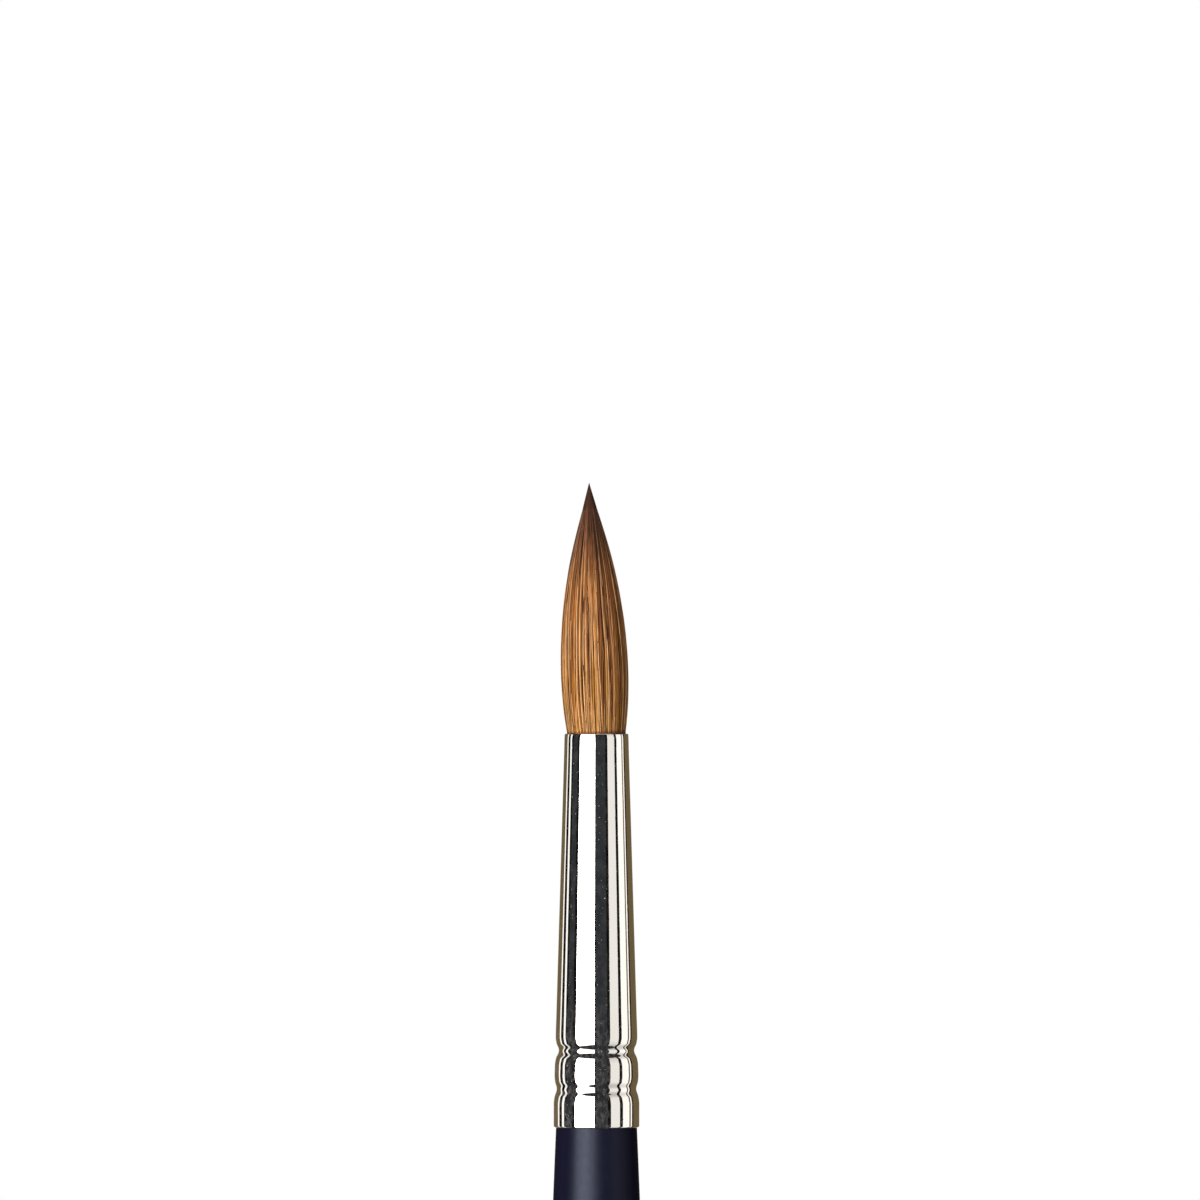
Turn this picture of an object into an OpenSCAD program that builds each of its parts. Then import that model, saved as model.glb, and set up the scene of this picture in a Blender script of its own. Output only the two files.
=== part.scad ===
// Pointed round brush: hair tuft, crimped metal ferrule and lacquered wooden handle.
// Millimetres. The brush's axis is Z, with the hair at the top. The origin is on the axis where the
// ferrule's straight base band starts, just above its turned-in lower edge.

/* [Ferrule] */
// Height of the ferrule's mouth, where the hair comes out
mouth_z = 39.2; // [36:0.1:43]
// Outer radius at the mouth
mouth_r = 3.2; // [3.15:0.01:3.25]
// Radius of the straight base band, which a protective tube grips
band_r = 4.3; // [4.25:0.01:4.35]
// Height of the straight base band
band_h = 2.2; // [1.8:0.1:2.6]
// Thickness of the drawn metal
sheet_t = 0.25; // [0.22:0.01:0.28]
// Half the width of a rolled crimp, along the axis, with its soft shoulders
crimp_half_w = 1.45; // [1.3:0.05:1.5]
// Half the width of the steeper groove in the middle of a crimp
groove_half_w = 0.75; // [0.65:0.05:0.9]
// Height of the upper crimp's middle
crimp_high_z = 7.5; // [7.2:0.05:8]
// Depth of the lower crimp
crimp_low_depth = 0.26; // [0.2:0.01:0.35]
// Depth of the upper crimp
crimp_high_depth = 0.36; // [0.25:0.01:0.4]

/* [Hair] */
// Length of hair that shows above the ferrule
hair_out = 25.1; // [24:0.1:27]
// Radius of the hair at the mouth
hair_mouth_r = 2.92; // [2.85:0.01:2.93]
// Greatest radius of the hair, at the belly
belly_r = 3.35; // [3.3:0.01:3.45]
// Height of the belly above the mouth
belly_h = 6.3; // [5.5:0.1:7]
// Fullness of the taper from the belly to the point
taper_power = 1.9; // [1.8:0.05:2.1]
// How much more the hair draws in near its point
point_draw = 0.12; // [0:0.01:0.2]
// Lean of the whole tuft towards -X, in degrees
tuft_lean = 1.7; // [0:0.1:2]
// Depth of the roots inside the ferrule
root_depth = 14; // [12:0.5:15]

/* [Bends] */
// Height above the mouth of the centre about which the belly bends
bend_low = 2.6; // [2.5:0.05:2.8]
// Height above the mouth of the centre about which the point bends
bend_high = 14; // [13.5:0.1:14.5]
// Gap between the two sides of a bend
bend_gap = 0.3; // [0.25:0.01:0.32]

/* [Handle] */
// Length of the handle below the ferrule
handle_l = 145; // [130:1:170]
// Radius of the lacquered neck under the ferrule
neck_r = 4.05; // [4:0.01:4.1]
// Greatest radius of the lacquered handle
swell_r = 4.7; // [4.5:0.05:5.2]
// Distance of the greatest radius below the ferrule
swell_d = 24; // [20:1:30]
// Radius of the thin end
tail_r = 2.1; // [1.8:0.05:2.6]
// Length of the tenon inside the ferrule
tenon_l = 17; // [15:0.5:19]
// Thickness of the lacquer
lacquer_t = 0.1; // [0.09:0.01:0.12]
// Thickness of the base coat under the lacquer
base_t = 0.06; // [0.05:0.01:0.08]

/* [Hidden] */
$fn = 72;

fit = 0.01;                             // gap between pieces that are glued or pressed together
glue_t = 0.08;                          // glue film round the tenon
lip_r = 0.2;                            // turned-in lower edge of the ferrule
mouth_edge = 0.08;                      // rounded edge of the mouth
crimp_low_z = band_h + crimp_half_w;
groove_share = 0.45;                    // part of a crimp's depth that its steeper groove makes
crimp_steps = 24;
lip_steps = 4;

bound_r = 2.85;                         // bundle of roots where it is tied
bound_top = 5;                          // depth at which the tied bundle opens out to fill the mouth
mouth_fill_r = mouth_r - sheet_t - fit;
stub_overlap = 0.5;                     // how far the leaning hair starts below the mouth
cement_below = 2;                       // cement under the root ends
cement_round = 3;                       // cement round the root ends
thread_r = 0.13;
thread_turns = 8;

low_ball_r = 2.8;                       // rounded lower end of the belly
low_rim = 0.9;                          // top of the roots' rim, above the mouth
low_step = 0.5;                         // height of the belly's shoulder above its bend centre
high_ball_r = 2.3;                      // rounded lower end of the point
high_rim = bend_high - 1.6;             // top of the belly's rim, above the mouth
high_step = 0.6;                        // height of the point's shoulder above its bend centre
collar_gap = 0.05;                      // gap between a collar of flexing hairs and what it surrounds
outline_step = 0.9;                     // spacing of the points along the hair's outline

end_l = 2.6;                            // rounded end of the handle
shank_l = handle_l - end_l;
shank_power = 1.5;                      // how soon the handle thins behind its greatest radius
swell_steps = 8;
shank_steps = 18;
end_steps = 8;

// ---- outlines, as radius against height

function bump(t) = abs(t) < 1 ? (1 + cos(180 * t)) / 2 : 0;

function dip(z, middle, depth) = depth
    * (groove_share * bump((z - middle) / groove_half_w)
        + (1 - groove_share) * bump((z - middle) / crimp_half_w));

function cone_r(z) =
    z <= band_h ? band_r : band_r - (band_r - mouth_r) * (z - band_h) / (mouth_z - band_h);

function ferrule_r(z) =
    cone_r(z) - dip(z, crimp_low_z, crimp_low_depth) - dip(z, crimp_high_z, crimp_high_depth);

function bore_r(z) = ferrule_r(z) - sheet_t;

function crimp_heights(middle) =
    [for (i = [0:crimp_steps]) middle - crimp_half_w + 2 * crimp_half_w * i / crimp_steps];

// Heights at which the ferrule's outline turns, from the base band up to just over the crimps
turn_heights = concat([0], crimp_heights(crimp_low_z), crimp_heights(crimp_high_z));

function hair_r(h) =
    let (t = (h - belly_h) / (hair_out - belly_h))
    h < belly_h
        ? belly_r - (belly_r - hair_mouth_r) * pow((belly_h - h) / belly_h, 2)
        : belly_r * (1 - pow(t, taper_power)) * (1 - point_draw * pow(t, 4));

function hair_outline(bottom, top) =
    let (steps = ceil((top - bottom) / outline_step))
    [for (i = [0:steps]) let (h = bottom + (top - bottom) * i / steps) [max(hair_r(h), 0), h]];

function shank_r(d) =
    d <= swell_d
        ? neck_r + (swell_r - neck_r) * sin(90 * d / swell_d)
        : tail_r + (swell_r - tail_r) * pow(max(cos(90 * (d - swell_d) / (shank_l - swell_d)), 0), shank_power);

// Handle outline from under the ferrule to its end, sunk by a depth under the lacquer's surface
function handle_outline(depth) = concat(
    [for (i = [0:swell_steps]) let (d = swell_d * i / swell_steps)
        [shank_r(d) - depth, -lip_r - fit - d]],
    [for (i = [1:shank_steps]) let (d = swell_d + (shank_l - swell_d) * i / shank_steps)
        [shank_r(d) - depth, -lip_r - fit - d]],
    [for (i = [1:end_steps]) let (a = 90 * i / end_steps)
        [(tail_r - depth) * cos(a), -lip_r - fit - shank_l - (end_l - depth) * sin(a)]]);

function reversed(points) = [for (i = [len(points) - 1:-1:0]) points[i]];

function tenon_outline(depth) = concat(
    [[bore_r(0) - depth, -lip_r]],
    [for (z = turn_heights) [bore_r(z) - depth, z]],
    [[bore_r(tenon_l) - depth, tenon_l]]);

// ---- shared placing and shapes

module at_tuft(h = 0) {
    translate([0, 0, mouth_z]) rotate([0, -tuft_lean, 0]) translate([0, 0, h]) children();
}

module hair_solid(bottom, top) {
    rotate_extrude() polygon(concat([[0, bottom]], hair_outline(bottom, top), [[0, top]]));
}

module coat(depth, thickness) {
    rotate_extrude()
        polygon(concat(handle_outline(depth), reversed(handle_outline(depth + thickness))));
}

module collar(bottom, top, inner_r) {
    rotate_extrude() polygon(concat([[inner_r, bottom]], hair_outline(bottom, top), [[inner_r, top]]));
}

// ---- handle

module handle_core() {
    tenon_depth = glue_t + 2 * fit;
    color("burlywood") rotate_extrude() polygon(concat(
        [[0, tenon_l], [bore_r(tenon_l) - tenon_depth - 0.5, tenon_l]],
        [[bore_r(tenon_l) - tenon_depth, tenon_l - 0.5]],
        reversed([for (z = turn_heights) [bore_r(z) - tenon_depth, z]]),
        [[bore_r(0) - tenon_depth, -lip_r - fit]],
        handle_outline(lacquer_t + base_t + 2 * fit)));
}

module base_coat() {
    color("dimgray") coat(lacquer_t + fit, base_t);
}

module lacquer_coat() {
    color([0.08, 0.08, 0.13]) coat(0, lacquer_t);
}

module tenon_glue() {
    color("khaki") rotate_extrude()
        polygon(concat(tenon_outline(fit), reversed(tenon_outline(fit + glue_t))));
}

// ---- ferrule and what holds the hair in it

module ferrule() {
    lip = [for (i = [0:lip_steps - 1]) let (a = 90 * i / lip_steps)
        [band_r - lip_r + lip_r * sin(a), -lip_r * cos(a)]];
    outside = [for (z = turn_heights) [ferrule_r(z), z]];
    inside = [for (z = turn_heights) [bore_r(z), z]];
    mouth = [[mouth_r, mouth_z - mouth_edge], [mouth_r - mouth_edge, mouth_z],
             [mouth_r - sheet_t, mouth_z]];
    color("gainsboro") rotate_extrude()
        polygon(concat(lip, outside, mouth, reversed(inside), [[bore_r(0), -lip_r]]));
}

module root_cement() {
    ends_z = mouth_z - root_depth;
    bottom_z = ends_z - cement_below;
    top_z = ends_z + cement_round;
    color("goldenrod") rotate_extrude() polygon([
        [0, bottom_z], [bore_r(bottom_z) - fit, bottom_z], [bore_r(top_z) - fit, top_z],
        [bound_r + fit, top_z], [bound_r + fit, ends_z - fit], [0, ends_z - fit]]);
}

module root_thread() {
    pitch = 2 * thread_r + fit;
    first_z = mouth_z - root_depth + cement_round + pitch;
    color("ivory") for (i = [0:thread_turns - 1])
        translate([0, 0, first_z + i * pitch])
            rotate_extrude() translate([bound_r + thread_r + fit, 0]) circle(r = thread_r, $fn = 24);
}

// ---- hair

module hair_roots() {
    color("saddlebrown") difference() {
        union() {
            translate([0, 0, mouth_z]) rotate_extrude() polygon([
                [0, -root_depth], [bound_r, -root_depth], [bound_r, -bound_top - 1],
                [mouth_fill_r, -bound_top], [mouth_fill_r, 0], [0, 0]]);
            at_tuft() hair_solid(-stub_overlap, low_rim);
        }
        at_tuft(bend_low) sphere(r = low_ball_r + bend_gap);
    }
}

module flex_hairs_low() {
    color("peru") at_tuft()
        collar(low_rim + collar_gap, bend_low + low_step - collar_gap, low_ball_r + collar_gap);
}

module hair_belly() {
    color("peru") at_tuft() difference() {
        union() {
            translate([0, 0, bend_low]) sphere(r = low_ball_r);
            translate([0, 0, bend_low]) cylinder(r = low_ball_r, h = low_step + fit);
            hair_solid(bend_low + low_step, high_rim);
        }
        translate([0, 0, bend_high]) sphere(r = high_ball_r + bend_gap);
    }
}

module flex_hairs_high() {
    color("sienna") at_tuft()
        collar(high_rim + collar_gap, bend_high + high_step - collar_gap, high_ball_r + collar_gap);
}

module hair_point() {
    color("sienna") at_tuft() union() {
        translate([0, 0, bend_high]) sphere(r = high_ball_r);
        translate([0, 0, bend_high]) cylinder(r = high_ball_r, h = high_step + fit);
        hair_solid(bend_high + high_step, hair_out);
    }
}

handle_core();
base_coat();
lacquer_coat();
tenon_glue();
ferrule();
root_cement();
root_thread();
hair_roots();
flex_hairs_low();
hair_belly();
flex_hairs_high();
hair_point();
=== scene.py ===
"""Looks of a pointed round brush: hair tuft, nickel-plated ferrule and satin navy handle.

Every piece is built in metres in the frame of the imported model, with +Z up the brush's axis.
"""
import math
import bpy
import numpy as np
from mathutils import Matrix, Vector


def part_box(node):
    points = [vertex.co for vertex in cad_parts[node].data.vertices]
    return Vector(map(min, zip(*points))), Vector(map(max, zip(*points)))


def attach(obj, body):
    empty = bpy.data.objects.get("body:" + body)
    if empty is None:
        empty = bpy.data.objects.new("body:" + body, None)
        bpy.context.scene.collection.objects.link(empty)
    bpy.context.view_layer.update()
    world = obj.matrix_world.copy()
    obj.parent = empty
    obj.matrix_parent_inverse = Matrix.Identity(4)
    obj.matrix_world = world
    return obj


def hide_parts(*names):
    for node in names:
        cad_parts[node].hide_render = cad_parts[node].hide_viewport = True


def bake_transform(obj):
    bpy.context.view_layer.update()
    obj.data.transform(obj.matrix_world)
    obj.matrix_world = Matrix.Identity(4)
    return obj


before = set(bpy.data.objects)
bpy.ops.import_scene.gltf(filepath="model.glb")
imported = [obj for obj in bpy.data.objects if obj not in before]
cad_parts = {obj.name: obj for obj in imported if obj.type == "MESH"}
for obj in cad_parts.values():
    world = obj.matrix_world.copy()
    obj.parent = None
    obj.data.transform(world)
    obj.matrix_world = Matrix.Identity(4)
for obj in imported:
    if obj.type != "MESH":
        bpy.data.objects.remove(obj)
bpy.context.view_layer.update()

MM = 0.001
TURN = 2 * math.pi
TINY = 1e-9
SEED = 31
rng = np.random.default_rng(SEED)

# ---------------------------------------------------------------- places, from the frame


def wall_outline(node, side):
    """Heights and radii up a turned CAD node's wall: side 1 is its outer wall, and -1 its bore."""
    least_facing = 0.1
    decimals = 6
    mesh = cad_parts[node].data
    table = {}
    for face in mesh.polygons:
        middle = np.array(face.center)
        out = middle[:2] / max(np.hypot(*middle[:2]), TINY)
        if side * float(out @ np.array(face.normal)[:2]) > least_facing:
            for index in face.vertices:
                x, y, z = mesh.vertices[index].co
                table.setdefault(round(z, decimals), []).append(math.hypot(x, y))
    heights = np.array(sorted(table))
    return heights, np.array([np.mean(table[h]) for h in heights])


ferrule_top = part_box("ferrule")[1].z
handle_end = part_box("lacquer_coat")[0].z
mouth = np.array([0.0, 0.0, ferrule_top])
point_places = np.array([v.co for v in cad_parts["hair_point"].data.vertices])
tip = point_places[point_places[:, 2].argmax()]
hair_out = float(np.linalg.norm(tip - mouth))
tuft_axis = (tip - mouth) / hair_out
tuft_side = np.array([tuft_axis[2], 0.0, -tuft_axis[0]])
tuft_back = np.array([0.0, 1.0, 0.0])


def on_tuft(angle, radius, height):
    """Points beside the tuft's axis. Angle 0 is +X, and a quarter turn is +Y."""
    return (mouth + np.multiply.outer(height, tuft_axis)
            + np.multiply.outer(radius * np.cos(angle), tuft_side)
            + np.multiply.outer(radius * np.sin(angle), tuft_back))


# ---------------------------------------------------------------- mesh helpers

SHARP_CORNER = math.radians(35)


def new_mesh(name, points, faces, flat_faces=(), sharp_points=()):
    """A smooth-shaded mesh. The flat faces are the end caps, which get a sharp rim, and an edge
    between two sharp points is sharp."""
    mesh = bpy.data.meshes.new(name)
    mesh.from_pydata([tuple(p) for p in points], [], faces)
    mesh.update()
    mesh.shade_smooth()
    ends = np.zeros(2 * len(mesh.edges), int)
    mesh.edges.foreach_get("vertices", ends)
    sharp = np.isin(ends, list(sharp_points)).reshape(-1, 2).all(axis=1)
    loops_edge = np.zeros(len(mesh.loops), int)
    mesh.loops.foreach_get("edge_index", loops_edge)
    for index in flat_faces:
        face = mesh.polygons[index]
        face.use_smooth = False
        sharp[loops_edge[face.loop_start:face.loop_start + face.loop_total]] = True
    mesh.attributes.new("sharp_edge", "BOOLEAN", "EDGE").data.foreach_set("value", sharp)
    piece = bpy.data.objects.new(name, mesh)
    bpy.context.scene.collection.objects.link(piece)
    return piece


def add_attribute(piece, name, values):
    attribute = piece.data.attributes.new(name, "FLOAT", "POINT")
    attribute.data.foreach_set("value", np.asarray(values, np.float32))


def turned(name, radii, heights, sides):
    """A closed solid of revolution about Z. The outline runs round the solid, and a point with
    radius 0 is a pole. A turn of the outline by more than SHARP_CORNER stays sharp."""
    outline = np.column_stack([radii, heights])
    before = outline - np.roll(outline, 1, axis=0)
    after = np.roll(outline, -1, axis=0) - outline
    corner = np.abs(np.arctan2(before[:, 0] * after[:, 1] - before[:, 1] * after[:, 0],
                               (before * after).sum(axis=1))) > SHARP_CORNER
    angles = np.arange(sides) * TURN / sides
    points, rings, faces = [], [], []
    for radius, height in zip(radii, heights):
        if radius == 0:
            rings.append([len(points)] * sides)
            points.append((0.0, 0.0, height))
        else:
            rings.append(list(range(len(points), len(points) + sides)))
            points += [(radius * math.cos(a), radius * math.sin(a), height) for a in angles]
    closes = radii[0] != 0 or radii[-1] != 0
    pairs = list(zip(rings, rings[1:])) + ([(rings[-1], rings[0])] if closes else [])
    for a, b in pairs:
        for i in range(sides):
            j = (i + 1) % sides
            faces.append(list(dict.fromkeys([a[i], b[i], b[j], a[j]])))
    sharp = [index for ring, turns in zip(rings, corner) if turns for index in ring]
    return new_mesh(name, points, faces, sharp_points=sharp)


def smooth_outline(levels, radii, steps):
    """The same outline with each stretch cut into steps, on a curve that never overshoots."""
    steep = np.diff(radii) / np.diff(levels)
    before, after = steep[:-1], steep[1:]
    one_way = before * after > 0
    inner = np.where(one_way, 2 * before * after / np.where(one_way, before + after, 1), 0)
    slope = np.concatenate([steep[:1], inner, steep[-1:]])
    heights, out = [], []
    for i in range(len(levels) - 1):
        span = levels[i + 1] - levels[i]
        for k in range(steps):
            t = k / steps
            heights.append(levels[i] + span * t)
            out.append((2 * t**3 - 3 * t**2 + 1) * radii[i]
                       + (t**3 - 2 * t**2 + t) * span * slope[i]
                       + (3 * t**2 - 2 * t**3) * radii[i + 1]
                       + (t**3 - t**2) * span * slope[i + 1])
    return np.append(heights, levels[-1]), np.append(out, radii[-1])


# ---------------------------------------------------------------- material helpers


def srgb(red, green, blue):
    """A colour given as 8-bit sRGB, as the linear numbers that shaders take."""
    return tuple(((c / 255 + 0.055) / 1.055) ** 2.4 if c > 10 else c / 255 / 12.92
                 for c in (red, green, blue)) + (1.0,)


def grey(value):
    return (value, value, value, 1.0)


class Nodes:
    """The node tree of a material or a world, with short ways to add nodes to it."""

    def __init__(self, owner):
        owner.use_nodes = True
        self.tree = owner.node_tree

    def add(self, kind, links=None, **settings):
        node = self.tree.nodes.new(kind)
        for key, value in settings.items():
            setattr(node, key, value)
        for key, value in (links or {}).items():
            self.put(node.inputs[key], value)
        return node

    def put(self, socket, value):
        if isinstance(value, bpy.types.NodeSocket):
            self.tree.links.new(value, socket)
        else:
            socket.default_value = value

    def maths(self, operation, *values):
        return self.add("ShaderNodeMath", dict(enumerate(values)), operation=operation).outputs[0]

    def span(self, value, start, end, low=0.0, high=1.0):
        """A number that goes from low to high while value goes from start to end."""
        return self.add("ShaderNodeMapRange", {
            0: value, 1: start, 2: end, 3: low, 4: high}).outputs[0]

    def ramp(self, factor, stops, interpolation="LINEAR"):
        """The colour at a factor, between stops of (factor, colour)."""
        node = self.add("ShaderNodeValToRGB", {"Fac": factor})
        node.color_ramp.interpolation = interpolation
        elements = node.color_ramp.elements
        while len(elements) > 1:
            elements.remove(elements[-1])
        elements[0].position, elements[0].color = stops[0]
        for position, colour in stops[1:]:
            elements.new(position).color = colour
        return node.outputs["Color"]

    def levels(self, factor, *stops, interpolation="LINEAR"):
        """The grey at a factor, between stops of (factor, brightness)."""
        return self.ramp(factor, [(place, grey(value)) for place, value in stops], interpolation)

    def mix(self, factor, a, b, blend="MIX"):
        node = self.add("ShaderNodeMix", data_type="RGBA", blend_type=blend)
        self.put(node.inputs["Factor"], factor)
        self.put(node.inputs["A"], a)
        self.put(node.inputs["B"], b)
        return node.outputs["Result"]


class Material(Nodes):
    """A material with its shader, and ways to read the place on the piece that wears it."""

    def __init__(self, name):
        self.material = bpy.data.materials.new(name)
        super().__init__(self.material)
        self.surface = self.tree.nodes["Principled BSDF"]

    def shader(self, **values):
        for key, value in values.items():
            self.put(self.surface.inputs[key.replace("_", " ")], value)

    def place(self, scale=(1, 1, 1)):
        """Object coordinates in millimetres, stretched by scale."""
        where = self.add("ShaderNodeTexCoord").outputs["Object"]
        factors = tuple(s / MM for s in scale)
        return self.add("ShaderNodeMapping", {"Vector": where, "Scale": factors}).outputs[0]

    def noise(self, scale, stretch=(1, 1, 1), detail=3.0, roughness=0.5):
        return self.add("ShaderNodeTexNoise", {
            "Vector": self.place(stretch), "Scale": scale, "Detail": detail,
            "Roughness": roughness}).outputs["Fac"]

    def attribute(self, name):
        return self.add("ShaderNodeAttribute", attribute_name=name).outputs["Fac"]

    def bump(self, height, depth, under=None):
        """A surface whose relief is depth deep, over the relief beneath it if there is one."""
        inputs = {"Height": height, "Distance": depth, "Strength": 1.0}
        if under is not None:
            inputs["Normal"] = under
        return self.add("ShaderNodeBump", inputs).outputs[0]


# ---------------------------------------------------------------- materials

# Heights above the ferrule's base band, in millimetres, between which the smudges fade in
SMUDGES_FROM, SMUDGES_FULL = 14.0, 7.0
HAIR_GLINT = (1.0, 0.76, 0.5, 1.0)
LACQUER_GLINT = (0.76, 0.82, 1.0, 1.0)


def nickel():
    """Bright nickel plating, with handling scratches, fine pits, dust and a slight unevenness."""
    m = Material("nickel_plate")
    around = m.noise(9.0, stretch=(1, 1, 0.03), detail=4.0, roughness=0.65)
    scratches = m.levels(around, (0.62, 0), (0.67, 1), (0.72, 0))
    pits = m.levels(m.noise(5.0, stretch=(1, 1, 0.6), detail=2.0), (0.64, 0), (0.74, 1))
    marks = m.maths("MAXIMUM", m.maths("MULTIPLY", scratches, 0.5), pits)
    haze = m.levels(m.noise(0.35, stretch=(1, 1, 0.4), detail=2.0), (0.35, 0.012), (0.7, 0.03))
    tone = m.mix(m.noise(0.5, stretch=(1, 1, 0.2)), srgb(240, 236, 230), srgb(230, 225, 216))
    wave = m.bump(m.noise(0.8, stretch=(1, 1, 0.25), detail=1.0), 0.004 * MM)
    mottle = m.noise(1.6, stretch=(1, 1, 0.5), detail=5.0, roughness=0.7)
    film = m.levels(mottle, (0.42, 1), (0.68, 0.98))
    specks = m.noise(6.5, stretch=(1, 1, 0.8), detail=1.0)
    dust = m.levels(specks, (0.735, 0), (0.765, 0.35))
    # Fingers smudge the plating near the crimps
    height = m.add("ShaderNodeSeparateXYZ", {0: m.place()}).outputs["Z"]
    handled = m.span(height, SMUDGES_FROM, SMUDGES_FULL)
    prints = m.noise(2.6, stretch=(1, 1, 0.6), detail=4.0, roughness=0.6)
    smudge = m.levels(prints, (0.47, 0), (0.62, 0.05))
    dulled = m.maths("ADD", dust, m.maths("MULTIPLY", smudge, handled))
    m.shader(Metallic=m.maths("SUBTRACT", film, dulled), Base_Color=tone,
             Roughness=m.maths("ADD", haze, m.maths("MULTIPLY", marks, 0.09)),
             Normal=m.bump(marks, 0.0003 * MM, under=wave))
    return m.material


def navy_lacquer():
    """Satin lacquer over turned wood: a faint turning grain, orange peel and some dust."""
    m = Material("navy_lacquer")
    peel = m.noise(2.2, stretch=(1, 1, 0.7), detail=2.0)
    grain = m.noise(3.0, stretch=(1, 1, 0.05))
    dust = m.levels(m.noise(4.5, detail=1.0), (0.74, 0), (0.78, 1))
    tone = m.mix(m.noise(0.6), srgb(13, 13, 28), srgb(16, 16, 34))
    height = m.maths("ADD", peel, m.maths("MULTIPLY", grain, 0.5))
    # The gloss falls off where the lacquer is seen aslant, which keeps the handle's edges dark
    aslant = m.add("ShaderNodeLayerWeight", {"Blend": 0.5}).outputs["Facing"]
    gloss = m.levels(aslant, (0.0, 0.23), (0.13, 0.2), (0.3, 0.05), (0.5, 0.015))
    m.shader(Base_Color=m.mix(m.maths("MULTIPLY", dust, 0.06), tone, srgb(120, 120, 130)),
             Roughness=m.levels(peel, (0.3, 0.39), (0.7, 0.44)),
             Specular_IOR_Level=gloss, Specular_Tint=LACQUER_GLINT,
             Normal=m.bump(height, 0.006 * MM))
    return m.material


# Colours up the hair, as (share of the length, colour). The first stop darkens each hair at the
# ferrule's mouth and inside it: painted shade where the hairs leave the ferrule.
HAIR_SHADES = {
    "pale": [(0.0, srgb(120, 60, 34)), (0.015, srgb(232, 178, 120)), (0.4, srgb(228, 170, 118)),
             (0.6, srgb(208, 146, 92)), (0.78, srgb(146, 96, 66)), (1.0, srgb(120, 78, 62))],
    "gold": [(0.0, srgb(100, 44, 20)), (0.015, srgb(198, 138, 60)), (0.4, srgb(184, 120, 52)),
             (0.6, srgb(164, 100, 48)), (0.78, srgb(108, 64, 40)), (1.0, srgb(98, 60, 46))],
    "red": [(0.0, srgb(80, 32, 16)), (0.015, srgb(164, 98, 38)), (0.4, srgb(146, 82, 34)),
            (0.6, srgb(122, 67, 30)), (0.78, srgb(80, 45, 28)), (1.0, srgb(84, 50, 40))],
    "dark": [(0.0, srgb(50, 18, 9)), (0.015, srgb(102, 48, 15)), (0.4, srgb(90, 39, 13)),
             (0.6, srgb(68, 32, 15)), (0.78, srgb(52, 28, 17)), (1.0, srgb(62, 37, 30))],
}


def hair(shade):
    """Natural hair in one shade, from its golden root to its dark tip, with painted shade where it
    leaves the ferrule.
    """
    m = Material("hair_" + shade)
    along = m.ramp(m.attribute("height"), HAIR_SHADES[shade])
    tint = m.levels(m.attribute("tint"), (0.0, 0.19), (1.0, 0.89))
    streak = m.levels(m.noise(1.2, stretch=(3, 3, 0.25)), (0.3, 0.62), (0.7, 1.22))
    colour = m.mix(1.0, m.mix(1.0, along, tint, "MULTIPLY"), streak, "MULTIPLY")
    scales = m.noise(14.0, stretch=(1, 1, 0.1))
    m.shader(Base_Color=colour, Roughness=0.4, Specular_IOR_Level=0.2,
             Specular_Tint=HAIR_GLINT, Normal=m.bump(scales, 0.01 * MM))
    return m.material


def hair_mass():
    """The close-packed hairs under the loose ones, with painted shade that makes them darkest in the
    gaps between the locks.
    """
    m = Material("hair_mass")
    lock = m.ramp(m.attribute("height"), HAIR_SHADES["red"])
    gap_shade_colour = m.ramp(m.attribute("height"), HAIR_SHADES["dark"])
    strands = m.noise(4.0, stretch=(2, 2, 0.08), detail=4.0)
    # Painted shade: in the gaps between the locks the colour turns to the dark hair's colour
    factor = m.levels(m.attribute("gap"), (0.25, 0), (0.75, 1))
    shade = m.levels(strands, (0.3, 0.3), (0.7, 0.72))
    m.shader(Base_Color=m.mix(1.0, m.mix(factor, lock, gap_shade_colour), shade, "MULTIPLY"), Roughness=0.5,
             Specular_IOR_Level=0.15, Specular_Tint=HAIR_GLINT, Normal=m.bump(strands, 0.03 * MM))
    return m.material


def wood():
    """Turned beech, with its grain along the handle and short dark flecks."""
    m = Material("handle_wood")
    rings = m.noise(0.9, stretch=(1, 1, 0.03), detail=5.0, roughness=0.6)
    flecks = m.levels(m.noise(6.0, stretch=(1, 1, 0.12), detail=2.0), (0.62, 0), (0.68, 1))
    tone = m.mix(rings, srgb(226, 192, 146), srgb(186, 142, 94))
    m.shader(Base_Color=m.mix(m.maths("MULTIPLY", flecks, 0.5), tone, srgb(120, 80, 48)),
             Roughness=m.levels(rings, (0.3, 0.55), (0.7, 0.7)), Normal=m.bump(rings, 0.02 * MM))
    return m.material


def mottled(name, light, dark, scale, rough, depth):
    """A plain hard or woven stuff whose tone, gloss and surface vary a little."""
    m = Material(name)
    speckle = m.noise(scale, detail=4.0)
    m.shader(Base_Color=m.mix(speckle, srgb(*light), srgb(*dark)),
             Roughness=m.levels(speckle, (0.3, rough), (0.7, rough + 0.15)),
             Normal=m.bump(speckle, depth))
    return m.material


def dress(piece, material):
    piece.data.materials.clear()
    piece.data.materials.append(material)


# ---------------------------------------------------------------- ferrule and handle

OUTLINE_STEPS = 4
FERRULE_SIDES = 192
HANDLE_SIDES = 160


def turned_shell(name, node, sides):
    """A CAD node's own turned shell, with a smoother outer wall."""
    heights, radii = smooth_outline(*wall_outline(node, 1), OUTLINE_STEPS)
    bore_heights, bore = wall_outline(node, -1)
    return turned(name, np.append(radii, bore[::-1]), np.append(heights, bore_heights[::-1]), sides)


def build_ferrule():
    """The drawn metal cone with its crimps, turned-in lower edge and rounded mouth."""
    piece = turned_shell("ferrule_shell", "ferrule", FERRULE_SIDES)
    dress(piece, nickel())
    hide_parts("ferrule")
    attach(piece, "handle")


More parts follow.
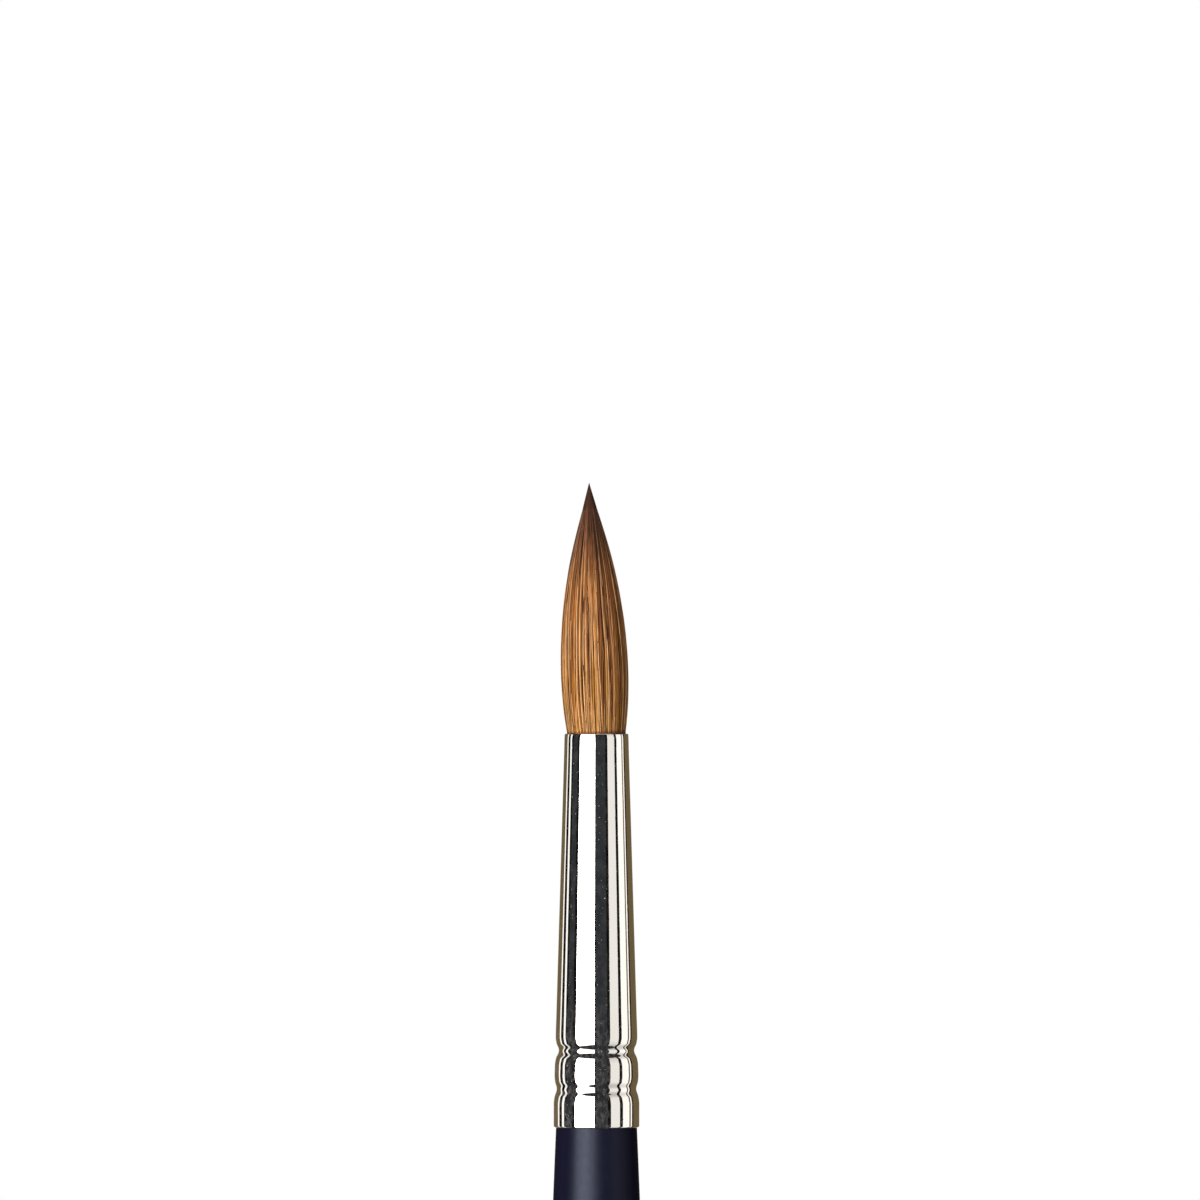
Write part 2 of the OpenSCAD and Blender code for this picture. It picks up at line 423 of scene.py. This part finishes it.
def build_handle():
    """The lacquer's skin, down to the rounded end of the handle."""
    piece = turned_shell("handle_lacquer", "lacquer_coat", HANDLE_SIDES)
    dress(piece, navy_lacquer())
    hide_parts("lacquer_coat")
    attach(piece, "handle")


# ---------------------------------------------------------------- the tuft's outline and its cuts

BELLY_HEIGHT = 6.3 * MM
TAPER_POWER = 1.9
POINT_DRAW = 0.12
belly_r = (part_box("hair_belly")[1].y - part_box("hair_belly")[0].y) / 2
mouth_r = 2.92 * MM


def tuft_radius(height):
    """Outer radius of the tuft at a height above the mouth."""
    low = belly_r - (belly_r - mouth_r) * ((BELLY_HEIGHT - height) / BELLY_HEIGHT) ** 2
    share = np.clip((height - BELLY_HEIGHT) / (hair_out - BELLY_HEIGHT), 0, 1)
    high = belly_r * (1 - share**TAPER_POWER) * (1 - POINT_DRAW * share**4)
    return np.where(height < BELLY_HEIGHT, low, high)


# The tuft is cut into three lengths: the lowest two stay where they are, and the last turns with the
# point.
LOW_CUT = 8.7 * MM
HIGH_CUT = 19.6 * MM
ZONES = {"low": (-1.0, LOW_CUT), "middle": (LOW_CUT, HIGH_CUT), "top": (HIGH_CUT, 1.0)}


def attach_hair(piece, zone):
    if zone == "low":
        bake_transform(piece)
    elif zone == "middle":
        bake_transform(piece)
    else:
        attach(piece, "point")


def cut_heights(zone, bottom, top, step):
    """Heights from bottom to top that lie in a zone, with the zone's own ends among them."""
    low, high = max(ZONES[zone][0], bottom), min(ZONES[zone][1], top)
    if high <= low:
        return np.zeros(0)
    return np.linspace(low, high, max(2, round((high - low) / step) + 1))


# ---------------------------------------------------------------- packed hairs

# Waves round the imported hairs, as (how many go round, size, sway, pace of the sway up the tuft)
MASS_WAVES = [(19, 0.9, 0.7, 0.31), (31, 1.0, 0.5, 0.43), (47, 0.8, 0.9, 0.27), (67, 0.6, 0.8, 0.52),
              (89, 0.5, 0.6, 0.38)]
FINE_SWAY = 0.4
FINE_PACE = 2.3
WAVE_OFFSET = 1.7
GAP_EDGE = 2.2
MASS_COLUMNS = 420
MASS_STEP = 0.3 * MM
MASS_BOTTOM = -14 * MM
MASS_TOP = hair_out - 0.03 * MM
MASS_SUNK = 0.07 * MM
MASS_RELIEF = 0.12 * MM
MASS_LEAST_R = 0.02 * MM
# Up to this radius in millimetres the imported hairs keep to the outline, and from 1 mm more on they
# lie MASS_SUNK under it
SUNK_FROM = 0.1
ROOTS_R = mouth_r - 0.03 * MM


def lock_relief(angle, height):
    """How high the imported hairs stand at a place, from 0 in a gap to 1 on a lock."""
    h = height / MM
    total, weight = 0.0, 0.0
    for number, (waves, size, sway, pace) in enumerate(MASS_WAVES):
        fine = FINE_SWAY * np.sin(h * pace * FINE_PACE + 2.0 * number)
        bend = sway * np.sin(h * pace + number) + fine
        total = total + size * np.sin(waves * angle + bend + WAVE_OFFSET * number)
        weight += size
    return 0.5 + 0.5 * np.tanh(GAP_EDGE * total / weight)


def build_mass(zone, material):
    """The closed body of packed hairs in one zone, with locks and gaps as real relief."""
    heights = cut_heights(zone, MASS_BOTTOM, MASS_TOP, MASS_STEP)
    angles = np.arange(MASS_COLUMNS) * TURN / MASS_COLUMNS
    angle, height = np.meshgrid(angles, heights)
    relief = lock_relief(angle, height)
    radius = tuft_radius(np.maximum(height, 0))
    radius = radius - MASS_SUNK * np.clip(radius / MM - SUNK_FROM, 0, 1)
    radius = np.where(height < 0, ROOTS_R, radius)
    depth = MASS_RELIEF * np.clip(radius / belly_r, 0.05, 1)
    radius = np.maximum(radius - depth * (1 - relief), MASS_LEAST_R)
    points = on_tuft(angle.ravel(), radius.ravel(), height.ravel())
    rows = len(heights)
    grid = np.arange(rows * MASS_COLUMNS).reshape(rows, MASS_COLUMNS)
    following = np.roll(grid, -1, axis=1)
    quads = np.stack([grid[:-1], following[:-1], following[1:], grid[1:]], axis=-1)
    faces = [tuple(quad) for quad in quads.reshape(-1, 4).tolist()]
    faces.append(tuple(grid[0].tolist())[::-1])
    faces.append(tuple(grid[-1].tolist()))
    piece = new_mesh("hair_mass_" + zone, points, faces, [len(faces) - 2, len(faces) - 1])
    add_attribute(piece, "height", np.clip(height.ravel() / hair_out, 0, 1))
    # The gap attribute steers the painted shade in the gaps between the locks
    add_attribute(piece, "gap", 1 - relief.ravel())
    dress(piece, material)
    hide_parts(*{"low": ["hair_roots", "flex_hairs_low", "hair_belly"],
                         "middle": ["flex_hairs_high"], "top": ["hair_point"]}[zone])
    attach_hair(piece, zone)


# ---------------------------------------------------------------- loose hairs

HAIR_R = 0.054 * MM
HAIR_R_SPREAD = (0.7, 1.2)
HAIR_SIDES = 5
HAIR_STEP = 0.55 * MM
HAIR_BOTTOM = -1.0 * MM
HAIR_LEAST_R = 0.015 * MM
# Depths under the tuft's outline: of a hair's middle line, how much more at the hair's own tip, and
# the depth under the mouth's radius inside the ferrule
LAID_IN = 0.05 * MM
TIP_SUNK = 0.05 * MM
LAID_IN_FERRULE = 0.07 * MM
# Swings round the tuft, in radians, of the three waves on each hair
SWAY = np.array([0.024, 0.010, 0.005])
SWAY_PACE = 2.1
SWAY_SPREAD = 0.3
# Hairs end at up to this share of the tuft's length below its tip, and most of them near the tip
END_SPREAD = 0.33
END_POWER = 1.6
# Shares of a hair's length at which it starts to narrow, and over which it does
NARROWS_FROM = 0.7
NARROWS_OVER = 0.3
NARROWS_BY = 0.86
RISES_OVER = 3 * MM


class Strand:
    """One loose hair on the tuft's surface, from just inside the ferrule to its own tip."""

    def __init__(self, angle, sway, phase, lift, tint):
        self.angle = angle
        self.sway = (sway + rng.normal(0, SWAY_SPREAD, 3)) * SWAY
        self.phase = phase
        self.end = hair_out * (1 - END_SPREAD * rng.random() ** END_POWER)
        self.lift = rng.uniform(*lift) * MM
        self.radius = HAIR_R * rng.uniform(*HAIR_R_SPREAD)
        self.tint = rng.uniform(*tint)

    def line(self, height):
        """The hair's middle line at some heights, and how near each is to the hair's tip."""
        share = np.clip(height / hair_out, 0, 1)
        angle = self.angle + sum(
            size * np.sin((k + 1) * SWAY_PACE * share * math.pi + phase)
            for k, (size, phase) in enumerate(zip(self.sway, self.phase)))
        near_end = np.clip((height / self.end - NARROWS_FROM) / NARROWS_OVER, 0, 1)
        rise = self.lift * np.clip(height / RISES_OVER, 0, 1) * (1 - near_end)
        radius = tuft_radius(np.maximum(height, 0)) - LAID_IN + rise - TIP_SUNK * near_end
        radius = np.where(height < 0, mouth_r - LAID_IN_FERRULE, radius)
        return on_tuft(angle, np.maximum(radius, HAIR_LEAST_R * (1 - near_end)), height), near_end

    def thickness(self, near_end):
        return self.radius * (1 - NARROWS_BY * near_end)


def tube_rings(line, thickness, sides):
    """Rings of points round a line that runs up the tuft."""
    along = np.gradient(line, axis=0)
    along /= np.linalg.norm(along, axis=1, keepdims=True)
    across = np.cross(along, tuft_back)
    across /= np.linalg.norm(across, axis=1, keepdims=True)
    third = np.cross(along, across)
    angles = np.arange(sides) * TURN / sides
    return (line[:, None] + thickness[:, None, None]
            * (across[:, None] * np.cos(angles)[None, :, None]
               + third[:, None] * np.sin(angles)[None, :, None]))


def build_strands(name, strands, zone, material):
    """The closed tubes of some loose hairs in one zone, as one piece."""
    sides = HAIR_SIDES
    points, faces, caps, height_values, tints = [], [], [], [], []
    for strand in strands:
        heights = cut_heights(zone, HAIR_BOTTOM, strand.end, HAIR_STEP)
        if len(heights) < 2:
            continue
        line, near_end = strand.line(heights)
        rings = tube_rings(line, strand.thickness(near_end), sides)
        first = len(points)
        points += list(rings.reshape(-1, 3))
        height_values += list(np.repeat(np.clip(heights / hair_out, 0, 1), sides))
        tints += [strand.tint] * (len(heights) * sides)
        for r in range(len(heights) - 1):
            for s in range(sides):
                a, b = first + r * sides + s, first + r * sides + (s + 1) % sides
                faces.append((a, b, b + sides, a + sides))
        last = first + (len(heights) - 1) * sides
        caps += [len(faces), len(faces) + 1]
        faces += [tuple(range(first, first + sides))[::-1], tuple(range(last, last + sides))]
    piece = new_mesh(f"{name}_{zone}", points, faces, caps)
    add_attribute(piece, "height", height_values)
    add_attribute(piece, "tint", tints)
    dress(piece, material)
    attach_hair(piece, zone)


LOCKS = 88
LOCK_HAIRS = 4
LOCK_JITTER = 0.3
LOCK_WIDTH = 0.018
LOCK_SHADES = ["pale", "gold", "gold", "red", "dark", "red"]
LOCK_RANGES = {"lift": (-0.05, 0.035), "tint": (0, 1)}
STRAY_HAIRS = 120
STRAY_SWAY = 1.2
STRAY_SHADES = {"pale": 0.42, "gold": 0.26, "red": 0.18, "dark": 0.14}
STRAY_RANGES = {"lift": (0.0, 0.05), "tint": (0.45, 1)}


def build_tuft():
    """Locks of hairs that sway together and stray hairs over them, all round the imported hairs."""
    strands = {shade: [] for shade in HAIR_SHADES}
    for number in range(LOCKS):
        angle = (number + rng.uniform(-LOCK_JITTER, LOCK_JITTER)) * TURN / LOCKS
        sway, phase = rng.normal(0, 1, 3), rng.uniform(0, TURN, 3)
        for shade in rng.permutation(LOCK_SHADES)[:LOCK_HAIRS]:
            own_angle = angle + rng.normal(0, LOCK_WIDTH)
            strands[shade].append(Strand(own_angle, sway, phase, **LOCK_RANGES))
    for shade in rng.choice(list(STRAY_SHADES), STRAY_HAIRS, p=list(STRAY_SHADES.values())):
        strands[shade].append(Strand(rng.uniform(0, TURN), rng.normal(0, STRAY_SWAY, 3),
                                     rng.uniform(0, TURN, 3), **STRAY_RANGES))
    mass_material = hair_mass()
    materials = {shade: hair(shade) for shade in HAIR_SHADES}
    for zone in ZONES:
        build_mass(zone, mass_material)
        for shade in HAIR_SHADES:
            build_strands(f"hairs_{shade}", strands[shade], zone, materials[shade])


# ---------------------------------------------------------------- studio

FRAME_W = 120 * MM
CAMERA_AWAY = 1.5
VIEW_X = 0.35 * MM
VIEW_Z = 13.35 * MM + ferrule_top
SENSOR_W = 36.0


def build_camera():
    """A level camera, whose frame is FRAME_W wide at the brush."""
    data = bpy.data.cameras.new("camera")
    data.sensor_width = SENSOR_W
    data.lens = SENSOR_W * CAMERA_AWAY / FRAME_W
    data.clip_start = 0.05
    data.clip_end = 20
    camera = bpy.data.objects.new("camera", data)
    bpy.context.scene.collection.objects.link(camera)
    camera.location = (VIEW_X, -CAMERA_AWAY, VIEW_Z)
    camera.rotation_euler = (math.pi / 2, 0, 0)
    bpy.context.scene.camera = camera


# What stands round the brush: white soft boxes, a white card and a white sweep, black flags, the
# dark room with the camera in it, and a brown wall
KEY_LIGHT = 4.2
KEY_CENTRE = 3.3
STUFF = {"key": (KEY_LIGHT,) * 3, "box": (1.25,) * 3, "card": (1.0,) * 3, "sweep": (0.8,) * 3,
         "flag": (0.004,) * 3, "room": (0.03, 0.033, 0.04), "wall": (0.16, 0.12, 0.06)}
# Each begins at its direction from the camera's side, in degrees with left negative
STUDIO = [
    (-180, "sweep"), (-165, "wall"), (-127.5, "box"), (-120.5, "flag"), (-107.5, "box"),
    (-99, "flag"), (-90, "room"), (-70.5, "flag"), (-61.5, "key"), (-6.7, "flag"),
    (-1.5, "room"), (30.5, "flag"), (38, "card"), (66, "flag"), (75, "box"), (98.5, "wall"),
    (105, "box"), (110.5, "flag"), (118, "wall"), (165, "sweep"),
]
# How much of the key light's hot centre stands in each direction
KEY_SIDES = [(-180, 0.0), (-65, 0.4), (-57, 0.7), (-49, 0.95), (-42, 1.0), (-31, 0.95),
             (-24, 0.7), (-15, 0.4), (-6, 0.0)]
# Heights here are parts of a unit direction: 0 is level with the brush, and 1 is overhead.
# The light falls between two heights, as (from, to, brightness before, brightness after).
BOX_FALL = (0.25, 0.60, 1.0, 0.6)
KEY_FALL = (0.0, 0.32, KEY_CENTRE, 0.0)
# The ring's upper and lower ends, as (rise to the sides, height in the camera's own direction)
TOP_END = (0.15, 0.52)
FOOT_END = (-0.30, -0.50)
CEILING_FROM = 0.87
UNLIT = (0.02, 0.02, 0.025, 1)
CEILING = (0.9, 0.9, 0.9, 1)
WHITE = (1, 1, 1, 1)


def part_of_turn(degrees):
    return (degrees + 180) / 360


def build_world():
    """White behind the brush, and round it a ring of soft boxes and flags under a pale ceiling."""
    world = bpy.data.worlds.new("studio")
    bpy.context.scene.world = world
    n = Nodes(world)
    where = n.add("ShaderNodeTexCoord").outputs["Generated"]
    right, back, up = n.add("ShaderNodeSeparateXYZ", {0: where}).outputs
    angle = n.maths("ARCTAN2", right, n.maths("MULTIPLY", back, -1.0))
    turn = n.maths("MULTIPLY_ADD", angle, 1 / TURN, 0.5)
    stops = [(part_of_turn(degrees), STUFF[kind] + (1.0,)) for degrees, kind in STUDIO]
    ring = n.ramp(turn, stops, "CONSTANT")
    # The soft boxes are brightest at the brush's own height
    steep = n.maths("ABSOLUTE", up)
    key_stops = [(part_of_turn(degrees), value) for degrees, value in KEY_SIDES]
    key = n.levels(turn, *key_stops, interpolation="CONSTANT")
    hot = n.maths("MULTIPLY", key, n.span(steep, *KEY_FALL))
    level = n.maths("ADD", n.span(steep, *BOX_FALL), hot)
    boxes = n.add("ShaderNodeVectorMath", {0: ring, "Scale": level}, operation="SCALE").outputs[0]
    # They reach higher and lower the further they stand from the camera's own direction
    aside = n.maths("ABSOLUTE", right)
    above = n.maths("GREATER_THAN", up, n.maths("MULTIPLY_ADD", aside, *TOP_END))
    below = n.maths("LESS_THAN", up, n.maths("MULTIPLY_ADD", aside, *FOOT_END))
    ends = n.maths("MAXIMUM", above, below)
    overhead = n.ramp(up, [(0.0, UNLIT), (CEILING_FROM, CEILING)], "CONSTANT")
    room = n.mix(ends, boxes, overhead)
    watched = n.add("ShaderNodeLightPath").outputs["Is Camera Ray"]
    n.put(n.tree.nodes["Background"].inputs["Color"], n.mix(watched, room, WHITE))
    bpy.context.scene.view_settings.view_transform = "Standard"


FLOOR_HALF = 0.9
FLOOR_GAP = 0.2 * MM
FLOOR_GLOW = 0.5


def build_floor():
    """A pale paper floor with a faint glow, which the ferrule doesn't mirror."""
    half = FLOOR_HALF
    z = handle_end - FLOOR_GAP
    floor = new_mesh("floor", [(-half, -half, z), (half, -half, z), (half, half, z), (-half, half, z)],
                     [(0, 1, 2, 3)])
    paper = mottled("floor_paper", (243, 243, 242), (238, 238, 237), 0.02, 0.7, 0.01 * MM)
    shader = paper.node_tree.nodes["Principled BSDF"]
    shader.inputs["Emission Color"].default_value = WHITE
    shader.inputs["Emission Strength"].default_value = FLOOR_GLOW
    dress(floor, paper)
    floor.visible_glossy = False
    floor.visible_diffuse = False


# ---------------------------------------------------------------- the brush

build_camera()
build_world()
build_floor()
build_ferrule()
build_handle()
build_tuft()

# The pieces inside, as (node, light tone, dark tone, scale of the mottle, roughness, relief)
INSIDE = [
    ("base_coat", (120, 120, 122), (96, 96, 98), 2.0, 0.6, 0.01 * MM),
    ("tenon_glue", (214, 196, 130), (186, 164, 96), 1.0, 0.3, 0.02 * MM),
    ("root_cement", (190, 130, 56), (140, 88, 34), 0.8, 0.2, 0.02 * MM),
    ("root_thread", (236, 228, 206), (200, 188, 158), 9.0, 0.6, 0.04 * MM),
]
dress(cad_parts["handle_core"], wood())
for node_name, *looks in INSIDE:
    dress(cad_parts[node_name], mottled(node_name, *looks))
